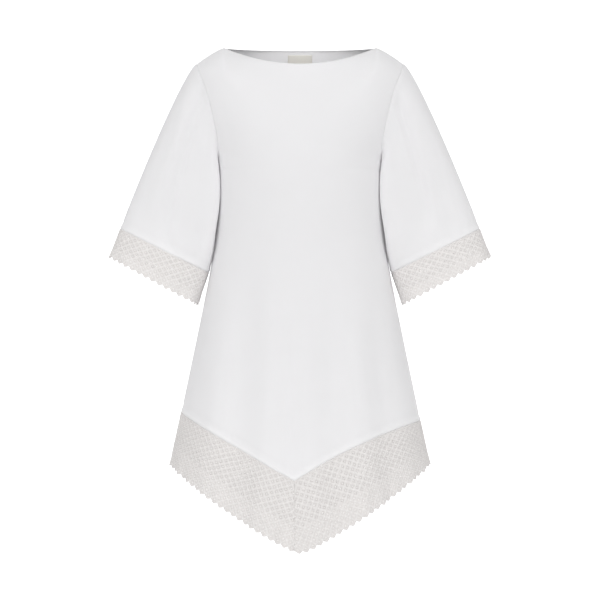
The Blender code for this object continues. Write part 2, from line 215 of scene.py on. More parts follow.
def bodyPoint(side, across, z):
    across, z = np.broadcast_arrays(np.asarray(across, float), np.asarray(z, float))
    _, depth, halfAngle = arc(side, z)
    x = acrossToX(side, across, z)
    y = depth * np.cos(across * halfAngle)
    nearShoulder = np.minimum(np.abs(x) / body["neckX"], 1.0) ** body["shoulderSpread"]
    closing = body["neckClosing"] + (body["shoulderClosing"] - body["neckClosing"]) * nearShoulder
    belowTop = np.clip((topZ(side, x) - z) / closing, 0.0, 1.0)
    roundness = 1 - (1 - body["shoulderFullness"]) * nearShoulder
    start = topReach(side, x)
    y = start + (y - start) * np.maximum(1 - (1 - belowTop) ** 2, 0.0) ** roundness
    y = y + foldRise(side, x, z) * (1 - across**4)
    return np.stack((x, side * (y + seamGap / 2), z), axis=-1)


def bodyNormal(side, across, z):
    small = 0.0015
    across, z = np.broadcast_arrays(np.asarray(across, float), np.asarray(z, float))
    step = np.clip(across, -1 + small, 1 - small)
    height = np.minimum(z, topZ(side, acrossToX(side, step, z)) - small)
    along = bodyPoint(side, step + small, height) - bodyPoint(side, step - small, height)
    down = bodyPoint(side, step, height - small) - bodyPoint(side, step, height + small)
    return unit(np.cross(down, along) if side < 0 else np.cross(along, down))


# points that stand off the body, outwards, by a lift that is one number or one for each point
def offBody(side, across, z, lift):
    return bodyPoint(side, across, z) + bodyNormal(side, across, z) * np.expand_dims(lift, -1)


# the height at which each column meets a line that gives the height for an x
def solvedZ(side, across, line, sideZ=None):
    z = np.zeros(np.shape(across))
    for _ in range(body["solveRounds"]):
        z = line(acrossToX(side, across, z))
    return z if sideZ is None else np.where(np.abs(across) > body["onSide"], sideZ, z)


# height of a slanted line between the point and the side, bowed up or down on its way
def slanted(share, pointZ, sideZ, bow):
    return pointZ + (sideZ - pointZ) * share * (1 + bow - bow * share)


# height of the slanted seam between cloth and lace, on one hand
def seamZ(side, across, hand):
    pointX = body["mitreShift"] if side < 0 else 0.0

    def line(x):
        share = np.minimum(np.abs(x - pointX) / abs(hand * body["seamSideX"] - pointX), 1.0)
        return slanted(share, body["seamPointZ"], body["seamSideZ"][hand], body["seamBow"][hand])

    return solvedZ(side, across, line, body["seamSideZ"][hand])


# height of the line through the teeth of the lace's edge
def hemZ(side, across):
    r = body["hemPointRound"]

    def line(x):
        share = np.minimum(np.abs(x) / body["hemSideX"], 1.0)
        rounded = (np.hypot(share, r) - r) / (math.hypot(1, r) - r)
        return slanted(rounded, body["hemPointZ"], body["hemSideZ"], body["hemBow"])

    return solvedZ(side, across, line, body["hemSideZ"])


# armholes and sleeves: angle 0 is the shoulder point, pi the underarm, and 0 to pi runs over the front
sleeve = {
    "columns": 120, "rowStep": 0.0055, "length": 0.36, "angleStep": 0.02,
    "endSine": 0.01,  # under this sine, an angle is at the shoulder point or the underarm
    "underarmCosine": -0.99,
    "cuffRing": ((0.3415, -0.3445), (0.1745, -0.4280), 0.052),  # outer point, inner point, reach
    "edgeRing": ((0.3615, -0.3980), (0.1950, -0.4880), 0.055),
    "ringFullness": 0.72,
    "capRun": 0.028, "underarmRun": 0.030, "cuffRun": 0.080, "innerCuffRun": 0.015,
    "creaseLift": 0.6,
    "overlapSide": 0.029, "overlapReach": 0.014, "overlapMiddle": 0.50, "overlapLength": 0.62,
    "closeIn": 0.0050,  # how much nearer the body the inner side hangs
    "closeInAt": 0.80, "closeInLength": 0.15,
    "foldEase": 0.15, "foldEnd": 0.35,
    "folds": (  # hand, share and angle at the top, share and angle at the end, half width in degrees, rise
        (-1, 0.00, 62, 0.95, 92, 8, -0.0056),
        (-1, 0.20, 50, 0.85, 68, 13, 0.0035),
        (-1, 0.60, 118, 1.00, 127, 10, -0.0035),
        (-1, 0.15, 246, 0.95, 262, 12, -0.0045),
        (-1, 0.30, 290, 1.00, 284, 12, 0.0030),
        (1, 0.05, 66, 0.80, 90, 9, -0.0050),
        (1, 0.15, 118, 0.80, 122, 13, 0.0035),
        (1, 0.55, 60, 1.00, 66, 12, -0.0025),
        (1, 0.10, 286, 0.90, 270, 12, -0.0045),
        (1, 0.35, 240, 1.00, 236, 12, 0.0030),
        (-1, 0.55, 80, 1.00, 104, 4, -0.0010),
        (-1, 0.05, 100, 0.45, 112, 6, -0.0012),
        (1, 0.05, 98, 0.40, 108, 6, -0.0012),
        (1, 0.60, 96, 1.00, 104, 4, -0.0010),
        (-1, 0.50, 228, 0.95, 238, 5, 0.0010),
        (1, 0.45, 252, 0.90, 250, 5, -0.0010),
    ),
}


def armholeZ(angle):
    return body["shoulderZ"] + (body["underarmZ"] - body["shoulderZ"]) * (1 - math.cos(angle)) / 2


# point of the armhole seam, the body's normal there, and the way out of the body along the cloth
def armhole(hand, angle):
    side = -1 if angle <= math.pi else 1
    z = armholeZ(angle)
    point = bodyPoint(side, hand, z)
    normal = bodyNormal(side, hand, z)
    small = sleeve["angleStep"]
    nearer = min(max(angle, small), math.pi - small) if side < 0 else max(angle, math.pi + small)
    nearer = min(nearer, 2 * math.pi - small)
    edge = bodyPoint(side, hand, armholeZ(nearer + small)) - bodyPoint(side, hand, armholeZ(nearer - small))
    if abs(math.sin(angle)) < sleeve["endSine"]:
        normal = unit(normal * np.array((1, 0, 1)))
        edge = np.array((0, -1.0 if math.cos(angle) > 0 else 1.0, 0))
    out = unit(np.cross(edge, normal))
    inward = bodyPoint(side, hand * 0.9, z) - point
    if math.cos(angle) < sleeve["underarmCosine"]:
        inward = np.array((0, 0, -1.0))
    return point, normal, -out if np.dot(out, inward) > 0 else out


# how far the sleeve turns from the body's own direction where it is sewn on
def crease(angle):
    return sleeve["creaseLift"] * ease((1 - math.cos(angle)) / 2)


def seamNormal(hand, angle):
    _, normal, out = armhole(hand, angle)
    return unit(normal + unit(normal - crease(angle) * out))


# points of a cuff's upper ring and of its lower edge
def ringPoint(hand, angle, ring):
    (outerX, outerZ), (innerX, innerZ), reach = ring
    angle = np.asarray(angle, float)
    c, s = np.cos(angle), np.sin(angle)
    x = (outerX + innerX) / 2 + c * (outerX - innerX) / 2
    z = (outerZ + innerZ) / 2 + c * (outerZ - innerZ) / 2
    return np.stack((hand * x, -np.sign(s) * np.abs(s) ** sleeve["ringFullness"] * reach, z), axis=-1)


def cuffPoint(hand, angle):
    return ringPoint(hand, angle, sleeve["cuffRing"])


def edgePoint(hand, angle):
    return ringPoint(hand, angle, sleeve["edgeRing"])


def cuffOut(hand, angle):
    return unit(edgePoint(hand, angle) - cuffPoint(hand, angle))


def cuffNormal(hand, angle):
    small = sleeve["angleStep"]
    around = cuffPoint(hand, angle + small) - cuffPoint(hand, angle - small)
    return unit(np.cross(around, cuffOut(hand, angle)) * hand)


# how far the sleeve's and cuff's inner side hangs in towards the body, by share of the sleeve's length
def closeIn(angle, share):
    inner = ease(-np.cos(angle)) * sleeve["closeIn"]
    return inner * bump(share - sleeve["closeInAt"], sleeve["closeInLength"])


# one line of the sleeve from its armhole to its cuff
def sleeveLine(hand, angle, shares):
    point, normal, out = armhole(hand, angle)
    leave = unit(out + crease(angle) * normal)
    inner = ease((1 - math.cos(angle)) / 2)
    run = sleeve["capRun"] + (sleeve["underarmRun"] - sleeve["capRun"]) * inner
    lastRun = sleeve["cuffRun"] + (sleeve["innerCuffRun"] - sleeve["cuffRun"]) * inner
    start, end = point + seamGap * leave, cuffPoint(hand, angle)
    a, b = start + run * leave, end - lastRun * cuffOut(hand, angle)
    t = shares[:, None]
    line = (1 - t) ** 3 * start + 3 * (1 - t) ** 2 * t * a + 3 * (1 - t) * t * t * b + t**3 * end
    hang = math.sin(2 * angle) ** 2 if math.cos(angle) < 0 else 0.0
    hang = hang * bump(shares - sleeve["overlapMiddle"], sleeve["overlapLength"]) * np.sin(math.pi * shares)
    line[:, 0] -= hand * sleeve["overlapSide"] * hang
    line[:, 1] -= math.copysign(sleeve["overlapReach"], math.sin(angle)) * hang
    line[:, 0] -= hand * closeIn(angle, shares)
    return line


def sleeveRise(hand, angles, shares):
    degrees = np.degrees(angles)[None, :]
    along = shares[:, None]
    rise = np.zeros((len(shares), len(angles)))
    for foldHand, first, firstAngle, last, lastAngle, halfWidth, height in sleeve["folds"]:
        if foldHand == hand:
            centre = firstAngle + (lastAngle - firstAngle) * (along - first) / (last - first)
            comes = ease((along - first) / sleeve["foldEase"])
            goes = ease((last - along) / sleeve["foldEase"] + sleeve["foldEnd"])
            rise += height * comes * goes * bump(degrees - centre, halfWidth)
    return rise


# mesh making
def addObject(name, data):
    thing = bpy.data.objects.new(name, data)
    bpy.context.collection.objects.link(thing)
    return thing


def makeObject(name, points, faces, material, paintedShadeAndDoubling=None):
    mesh = bpy.data.meshes.new(name)
    mesh.from_pydata(np.asarray(points, float).tolist(), [], faces)
    mesh.update()
    mesh.shade_smooth()
    mesh.materials.append(material)
    if paintedShadeAndDoubling is not None:  # a share for each point that its colour follows: in the lace, painted shade that colours its low parts darker; in the cloth, whiter where a seam allowance lies behind
        spread = np.ascontiguousarray(np.broadcast_to(paintedShadeAndDoubling, len(points)), dtype=np.float32)
        mesh.attributes.new("paintedShadeAndDoubling", "FLOAT", "POINT").data.foreach_set("value", spread)
    return addObject(name, mesh)


# a shell from a grid of outer points, with its wall on the inner side and a rim along its edges
def makeShell(name, points, normals, thickness, material, ring=False, paintedShadeAndDoubling=None):
    rows, columns = points.shape[:2]
    count = rows * columns
    inner = points - normals * thickness
    index = np.arange(count).reshape(rows, columns)
    after = np.roll(index, -1, axis=1)
    last = columns if ring else columns - 1
    quads = np.stack((index[:-1], index[1:], after[1:], after[:-1]), axis=-1)[:, :last].reshape(-1, 4)
    edges = [(index[0, j], after[0, j]) for j in range(last)]
    edges += [(after[-1, j], index[-1, j]) for j in range(last)]
    if not ring:
        edges += [(index[i + 1, 0], index[i, 0]) for i in range(rows - 1)]
        edges += [(index[i, -1], index[i + 1, -1]) for i in range(rows - 1)]
    flat = points.reshape(-1, 3)
    a = flat[quads[:, 1]] - flat[quads[:, 0]]
    b = flat[quads[:, 3]] - flat[quads[:, 0]]
    facing = (np.cross(a, b) * normals.reshape(-1, 3)[quads[:, 0]]).sum()
    rim = [(p, q, q + count, p + count) for p, q in edges]
    faces = quads.tolist() + (quads[:, ::-1] + count).tolist() + rim
    if facing < 0:
        faces = [tuple(reversed(face)) for face in faces]
    if paintedShadeAndDoubling is not None:
        paintedShadeAndDoubling = np.tile(paintedShadeAndDoubling.reshape(-1), 2)
    return makeObject(name, np.concatenate((flat, inner.reshape(-1, 3))), faces, material, paintedShadeAndDoubling=paintedShadeAndDoubling)


# a round thread along each of several paths, joined in one mesh
def makeThreads(name, paths, radius, material, closed=False):
    # the cords are coloured a little darker than the knots, as painted shade
    sides, steep, threadPaintedLight = 6, 0.9, 0.8
    points, faces, base = [], [], 0
    for path in paths:
        path = np.asarray(path, float)
        if closed:
            ahead, behind = np.roll(path, -1, axis=0), np.roll(path, 1, axis=0)
        else:
            ahead, behind = np.vstack((path[1:], path[-1:])), np.vstack((path[:1], path[:-1]))
        tangent = unit(ahead - behind)
        helper = np.tile((0.0, 1.0, 0.0), (len(path), 1))
        helper[np.abs(tangent[:, 1]) > steep] = (1.0, 0.0, 0.0)
        u = unit(np.cross(tangent, helper))
        v = np.cross(tangent, u)
        turn = np.linspace(0, 2 * math.pi, sides, endpoint=False)
        around = np.cos(turn)[:, None] * u[:, None] + np.sin(turn)[:, None] * v[:, None]
        points.append((path[:, None] + radius * around).reshape(-1, 3))
        for i in range(len(path) if closed else len(path) - 1):
            here, there = base + i * sides, base + (i + 1) % len(path) * sides
            for j in range(sides):
                k = (j + 1) % sides
                faces.append((here + j, here + k, there + k, there + j))
        if not closed:
            faces.append(tuple(base + j for j in range(sides))[::-1])
            faces.append(tuple(base + (len(path) - 1) * sides + j for j in range(sides)))
        base += len(path) * sides
    return makeObject(name, np.concatenate(points), faces, material, paintedShadeAndDoubling=threadPaintedLight)


def finishPiece(piece, slot, *nodes):
    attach(piece, "root")
    if nodes:
        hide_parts(*nodes)
    return piece


# a strip of lace with its cords and its length, in the place of one node
def finishLace(node, strip):
    finishPiece(strip[0], "lace", node)
    finishPiece(strip[1], "lace")
    return strip


# materials
cloth = {
    "waveLength": 0.314,  # metres between the bands of Blender's wave texture at scale 1
    "ridgeHeight": 0.00015,
    "toneSpread": 0.05,  # over this spread of tone, the roughness shifts by roughSpread
    "roughSpread": 0.06,
    "sheenRoughness": 0.5,
    "lightDepth": 0.003,  # how far light goes inside the cloth
}


def setInputs(node, values):
    for socketName, value in values.items():
        node.inputs[socketName].default_value = value


# a group with its own inputs and outputs, and the place of each point in metres
def newGroup(name, inputs, outputs):
    group = bpy.data.node_groups.new(name, "ShaderNodeTree")
    for way, sockets in (("INPUT", inputs), ("OUTPUT", outputs)):
        for socketName, kind in sockets.items():
            group.interface.new_socket(name=socketName, in_out=way, socket_type="NodeSocket" + kind)
    nodes = group.nodes
    place = nodes.new("ShaderNodeTexCoord").outputs["Object"]
    return group, nodes.new("NodeGroupInput").outputs, nodes.new("NodeGroupOutput").inputs, place


# a sum, difference, product or quotient of two terms, each a number or a node's output
def mathNode(group, operation, first, second):
    node = group.nodes.new("ShaderNodeMath")
    node.operation = operation
    for socket, term in zip(node.inputs, (first, second)):
        if isinstance(term, float):
            socket.default_value = term
        else:
            group.links.new(term, socket)
    return node.outputs[0]


# uneven tone of cloth: broad soft patches and fine fibre specks, as a value round 0
def toneGroup():
    floats = ("Patch Size", "Patch Depth", "Speck Size", "Speck Depth")
    inputs = {"Color": "Color", **dict.fromkeys(floats, "Float")}
    group, given, made, place = newGroup("clothTone", inputs, {"Color": "Color", "Value": "Float"})
    nodes, links = group.nodes, group.links
    parts = []
    for word, detail in (("Patch", 3), ("Speck", 2)):
        noise = nodes.new("ShaderNodeTexNoise")
        setInputs(noise, {"Detail": detail})
        links.new(place, noise.inputs["Vector"])
        links.new(given[word + " Size"], noise.inputs["Scale"])
        centred = mathNode(group, "SUBTRACT", noise.outputs["Fac"], 0.5)
        parts.append(mathNode(group, "MULTIPLY", centred, given[word + " Depth"]))
    both = mathNode(group, "ADD", *parts)
    tint = nodes.new("ShaderNodeVectorMath")
    tint.operation = "SCALE"
    links.new(given["Color"], tint.inputs[0])
    links.new(mathNode(group, "ADD", both, 1.0), tint.inputs["Scale"])
    links.new(tint.outputs[0], made["Color"])
    links.new(both, made["Value"])
    return group


# fine weave or twist as a normal: two crossing sets of ridges in metres, with some unevenness
def weaveGroup():
    inputs = dict.fromkeys(("Thread Size", "Depth", "Twist"), "Float")
    group, given, made, place = newGroup("threadWeave", inputs, {"Normal": "Vector"})
    nodes, links = group.nodes, group.links
    scale = mathNode(group, "DIVIDE", cloth["waveLength"], given["Thread Size"])
    heights = []
    for direction in ("Z", "DIAGONAL"):
        wave = nodes.new("ShaderNodeTexWave")
        wave.bands_direction = direction
        setInputs(wave, {"Detail": 1.0})
        links.new(place, wave.inputs["Vector"])
        links.new(scale, wave.inputs["Scale"])
        links.new(given["Twist"], wave.inputs["Distortion"])
        heights.append(wave.outputs["Fac"])
    ridge = nodes.new("ShaderNodeBump")
    setInputs(ridge, {"Distance": cloth["ridgeHeight"]})
    links.new(given["Depth"], ridge.inputs["Strength"])
    links.new(mathNode(group, "MULTIPLY", *heights), ridge.inputs["Height"])
    links.new(ridge.outputs["Normal"], made["Normal"])
    return group


clothTone, threadWeave = toneGroup(), weaveGroup()


def newMaterial(name):
    material = bpy.data.materials.new(name)
    material.use_nodes = True
    nodes = material.node_tree.nodes
    return material, nodes, material.node_tree.links, nodes["Principled BSDF"]


def clothMaterial(name, look):
    material, nodes, links, shader = newMaterial(name)
    tone, weave = nodes.new("ShaderNodeGroup"), nodes.new("ShaderNodeGroup")
    tone.node_tree, weave.node_tree = clothTone, threadWeave
    setInputs(tone, {"Color": (*look["colour"], 1), **look["tone"]})
    setInputs(weave, look["weave"])
    setInputs(shader, look["surface"])
    if "paintedShadeAndPlainColour" in look:  # the colour follows a share for each point: painted shade in the lace's low parts, and whiter cloth where a seam allowance lies behind
        paintedShadeAndDoubling, shade = nodes.new("ShaderNodeAttribute"), nodes.new("ShaderNodeMix")
        paintedShadeAndDoubling.attribute_name = "paintedShadeAndDoubling"
        shade.data_type = "RGBA"
        links.new(paintedShadeAndDoubling.outputs["Fac"], shade.inputs["Factor"])
        setInputs(shade, {"A": (*look["paintedShadeAndPlainColour"], 1), "B": (*look["colour"], 1)})
        links.new(shade.outputs["Result"], tone.inputs["Color"])
    rough = nodes.new("ShaderNodeMapRange")
    setInputs(rough, {"From Min": -cloth["toneSpread"], "From Max": cloth["toneSpread"]})
    roughness, spread = look["roughness"], cloth["roughSpread"]
    setInputs(rough, {"To Min": roughness + spread, "To Max": roughness - spread})
    links.new(tone.outputs["Value"], rough.inputs["Value"])
    links.new(rough.outputs["Result"], shader.inputs["Roughness"])
    links.new(tone.outputs["Color"], shader.inputs["Base Color"])
    links.new(weave.outputs["Normal"], shader.inputs["Normal"])
    setInputs(shader, {"Subsurface Radius": (1.0, 1.0, 1.0), "Subsurface Scale": cloth["lightDepth"]})
    setInputs(shader, {"Sheen Roughness": cloth["sheenRoughness"]})
    return material


whiteCloth = clothMaterial("whiteCloth", {
    "colour": (0.900, 0.896, 0.907),
    # the plain single cloth, greyer than the doubled cloth over seam allowances, which takes the colour above
    "paintedShadeAndPlainColour": (0.878, 0.871, 0.886),
    "roughness": 0.86,
    "tone": {"Patch Size": 14.0, "Patch Depth": 0.015, "Speck Size": 1500.0, "Speck Depth": 0.012},
    "weave": {"Thread Size": 0.00035, "Depth": 0.12, "Twist": 0.5},
    "surface": {"Sheen Weight": 0.12, "Specular IOR Level": 0.25, "Subsurface Weight": 0.6},
})
creamLace = clothMaterial("creamLace", {
    "colour": (0.925, 0.905, 0.895),
    # painted shade colour, for the lace's low parts and its back side
    "paintedShadeAndPlainColour": (0.785, 0.755, 0.74),
    "roughness": 0.80,
    "tone": {"Patch Size": 60.0, "Patch Depth": 0.07, "Speck Size": 700.0, "Speck Depth": 0.16},
    "weave": {"Thread Size": 0.0003, "Depth": 0.5, "Twist": 1.5},
    "surface": {"Sheen Weight": 0.15, "Specular IOR Level": 0.30, "Subsurface Weight": 0.0},
})
labelTape = clothMaterial("labelTape", {
    "colour": (0.90, 0.875, 0.81),
    "roughness": 0.62,
    "tone": {"Patch Size": 40.0, "Patch Depth": 0.03, "Speck Size": 1800.0, "Speck Depth": 0.03},
    "weave": {"Thread Size": 0.0003, "Depth": 0.35, "Twist": 0.0},
    "surface": {"Sheen Weight": 0.10, "Specular IOR Level": 0.40, "Subsurface Weight": 0.0},
})
print("materials made")


# front and back panels
panel = {
    "thickness": 0.0011, "halfWidth": 0.22, "skirtLength": 0.52,
    "columnStep": 0.0048, "armholeRows": 54, "skirtRows": 104,
    "edgeSteps": (0.0, 0.0007, 0.0016, 0.0028, 0.0045, 0.0070, 0.0100),  # columns and rows beside a seam
    "seamDip": 0.0009, "seamDipWidth": 0.0014, "hemDip": 0.0004,
    "neckRoll": 0.0013, "neckRollWidth": 0.0022,
    "neckEnd": 0.006,  # the neck's rolled edge fades into the shoulder seam over this length
    "hemPuff": 0.0009,  # the bright ridge along the lace seam, and the hollow above it
    "hemPuffAt": 0.0042, "hemPuffWidth": 0.0034,
    "hemHollow": -0.0007, "hemHollowAt": 0.0130, "hemHollowWidth": 0.0055,
    "doubledWidth": 0.0034,  # where the seam allowance lies behind, the cloth is whiter
    "sleevePuff": 0.5,  # how much of the ridge and of the whiter line the sleeves have
    "sleeveDoubled": 0.4,
}


# shares of a length: even steps, with closer ones beside its end, and at its start too if asked
def closerAtEnds(length, step, atStart=True):
    near = np.array(panel["edgeSteps"])
    inner = np.linspace(near[-1] if atStart else 0.0, length - near[-1], int(length / step))
    parts = [inner, length - near[:-1][::-1]]
    if atStart:
        parts.insert(0, near[:-1])
    return np.concatenate(parts) / length


# sunk seams, and the ridge and hollow above the lace, from the distances to both
def edgeRise(fromSeam, fromLace, puffShare=1.0):
    rise = -panel["seamDip"] * bump(fromSeam, panel["seamDipWidth"])
    rise = rise - panel["hemDip"] * bump(fromLace, panel["seamDipWidth"])
    rise = rise + panel["hemPuff"] * puffShare * bump(fromLace - panel["hemPuffAt"], panel["hemPuffWidth"])
    return rise + panel["hemHollow"] * bump(fromLace - panel["hemHollowAt"], panel["hemHollowWidth"])


def buildPanel(name, side):
    half = closerAtEnds(panel["halfWidth"], panel["columnStep"], atStart=False)
    across = np.concatenate((-half[:0:-1], half))
    fromSide = (1 - np.abs(across)) * panel["halfWidth"]
    top = solvedZ(side, across, lambda x: topZ(side, x))
    upper = (1 - np.cos(np.linspace(0, math.pi, panel["armholeRows"] + 1)[:-1])) / 2
    bottom = np.where(across < 0, seamZ(side, across, -1), seamZ(side, across, 1))
    length = panel["skirtLength"]
    lower = closerAtEnds(length, length / panel["skirtRows"], atStart=False)
    z = np.concatenate((
        top + (body["underarmZ"] - top) * upper[:, None],
        body["underarmZ"] + (bottom - body["underarmZ"]) * lower[:, None],
    ))
    grid = np.broadcast_to(across, z.shape)
    points, normals = bodyPoint(side, grid, z), bodyNormal(side, grid, z)
    for j, hand in ((0, -1), (-1, 1)):
        for i in range(len(upper) + 1):
            angle = math.pi * min(i / panel["armholeRows"], 1.0)
            normals[i, j] = seamNormal(hand, angle if side < 0 else 2 * math.pi - angle)
        normals[len(upper):, j] = unit(normals[len(upper):, j] * np.array((1, 0, 1)))
    onShoulder = np.abs(points[0, :, 0]) >= body["neckX"] - 1e-6
    normals[0, onShoulder] = unit(normals[0, onShoulder] * np.array((1, 0, 1)))
    fromLace = z - bottom
    neckShare = ease((body["neckX"] - np.abs(points[..., 0])) / panel["neckEnd"])
    topDip = panel["neckRoll"] * neckShare + panel["seamDip"] * (1 - neckShare)
    rise = edgeRise(fromSide[None, :], fromLace) - topDip * bump(top - z, panel["neckRollWidth"])
    doubled = bump(fromLace - panel["hemPuffAt"], panel["doubledWidth"])
    points = points + normals * rise[..., None]
    return makeShell(name, points, normals, panel["thickness"], whiteCloth, paintedShadeAndDoubling=doubled)


frontPanel = finishPiece(buildPanel("frontPanel", -1), "cloth", "front_panel")
backPanel = finishPiece(buildPanel("backPanel", 1), "cloth", "back_panel")
print("front and back made")


# sleeves
def gridNormals(points, hand):
    down = np.gradient(points, axis=0)
    around = np.roll(points, -1, axis=1) - np.roll(points, 1, axis=1)
    return unit(np.cross(around, down) * hand)


def buildSleeve(name, hand):
    angles = np.linspace(0, 2 * math.pi, sleeve["columns"], endpoint=False)
    shares = closerAtEnds(sleeve["length"], sleeve["rowStep"])
    points = np.stack([sleeveLine(hand, a, shares) for a in angles], axis=1)
    normals = gridNormals(points, hand)
    points = points + normals * sleeveRise(hand, angles, shares)[..., None]
    normals = gridNormals(points, hand)
    fromArmhole = runLengths(points)
    fromLace = fromArmhole[-1:] - fromArmhole
    for j, angle in enumerate(angles):
        normals[0, j] = seamNormal(hand, angle)
        normals[-1, j] = cuffNormal(hand, angle)
    points = points + normals * edgeRise(fromArmhole, fromLace, panel["sleevePuff"])[..., None]
    doubled = panel["sleeveDoubled"] * bump(fromLace - panel["hemPuffAt"], panel["doubledWidth"])
    return makeShell(name, points, normals, panel["thickness"], whiteCloth, ring=True, paintedShadeAndDoubling=doubled)


for hand, word in hands:
    finishPiece(buildSleeve("sleeve" + word, hand), "cloth", "sleeve_" + word.lower())
print("sleeves made")


# lace: a net of slanted cells, each a knot between four small holes inside a border of raised chain
lace = {
    "pitch": 0.0144,  # from one tooth of the edge to the next
    "hemRows": 9, "cuffRows": 5, "thickness": 0.0007,
    "cell": (0.0144, 0.0122),  # width and height of one cell from corner to corner
    "knotRadius": 0.0016, "knotHeight": 0.0010,
    "knots": ((0.55, 0.86, 1.0), (1.0, 0.15, 0.20)),  # shares of radius and height, and painted light, lower at the knot's foot as painted shade
    "ringRadius": 0.0025,
    "holeAngle": 21.0,  # half angle of each hole, in degrees
    "closeShare": 0.36,  # share of the rows, down to the edge, that are worked close, without holes
    "chainHalf": 0.10,  # half width of the chain, as a share of the cell
    # shares of painted light for the chain, its crossings, the ground and the back: lower parts and the back
    # are coloured darker as painted shade
    "chainCorner": 0.14, "chainHeight": 0.0007, "chainPaintedLight": 0.70,
    "cornerRise": 1.3,  # the chain's crossings are this much higher
    "cornerPaintedLight": 0.85,
    "groundHeight": -0.0002, "groundPaintedLight": 0.42, "backPaintedLight": 0.35,
    "knotShift": 0.03, "unevenness": 0.35,
    "weldSteps": 8000,  # points of one tooth and one row that are told apart when cells are welded
    "scallopDepth": 0.0050, "scallopMiddle": 0.57, "scallopPower": 1.3,
    "heading": 0.0016,
    "headingRow": -0.11,  # the upper heading thread, in rows
    "edgeCord": 0.00045, "cordLift": 0.0001,
    "cordStep": 0.1,  # in teeth
    "flare": 0.0010,
}


# points of one cell in shares of its two slanted sides, with height, painted light that colours the low parts
# darker as painted shade, and how far they may shift
def laceCell():
    width, height = lace["cell"]
    chainHeight = lace["chainHeight"]
    toMiddle = math.degrees(math.atan2(height, width))
    middles = (toMiddle, 180 - toMiddle, 180 + toMiddle, 360 - toMiddle)
    turns = []
    for corner, middle in zip((0, 90, 180, 270), middles):
        turns += [corner - lace["holeAngle"], corner + lace["holeAngle"], middle]
    rings = [(lace["knotRadius"] * out, lace["knotHeight"] * up, paintedShadeAndDoubling) for out, up, paintedShadeAndDoubling in lace["knots"]]
    points = [(0.0, 0.0, lace["knotHeight"], 1.0, 1.0)]
    for radius, rise, paintedShadeAndDoubling in rings + [(lace["ringRadius"], 0.0, 0.0)]:
        for turn in turns:
            x = radius * math.cos(math.radians(turn)) / width
            y = radius * math.sin(math.radians(turn)) / height
            points.append((x - y, x + y, rise, paintedShadeAndDoubling, 1.0))
    near = 0.5 - lace["chainCorner"]
    border = ((0.5, near), (near, 0.5), (0, 0.5), (-near, 0.5), (-0.5, near), (-0.5, 0))
    border += tuple((-a, -b) for a, b in border)
    inner = 1 - 2 * lace["chainHalf"]
    points += [(a * inner, b * inner, lace["groundHeight"], lace["groundPaintedLight"], 0.0) for a, b in border]
    points += [(a, b, chainHeight, lace["chainPaintedLight"], 0.0) for a, b in border]
    corners = len(points)
    for a, b in ((0.5, 0.5), (-0.5, 0.5), (-0.5, -0.5), (0.5, -0.5)):
        points.append((a, b, chainHeight * lace["cornerRise"], lace["cornerPaintedLight"], 0.0))
    starts = [1 + len(border) * ring for ring in range(5)]
    faces, holes = [], []
    for j in range(len(border)):
        k = (j + 1) % len(border)
        faces.append((0, starts[0] + j, starts[0] + k))
        for ring in range(4):
            if ring == 1 and j % 3 == 0:
                holes.append(len(faces))
            here, there = starts[ring], starts[ring + 1]
            faces.append((here + j, there + j, there + k, here + k))
        if j % 3 == 0:
            faces.append((starts[4] + j, corners + j // 3, starts[4] + k))
    return np.array(points), faces, holes


cellPoints, cellFaces, cellHoles = laceCell()


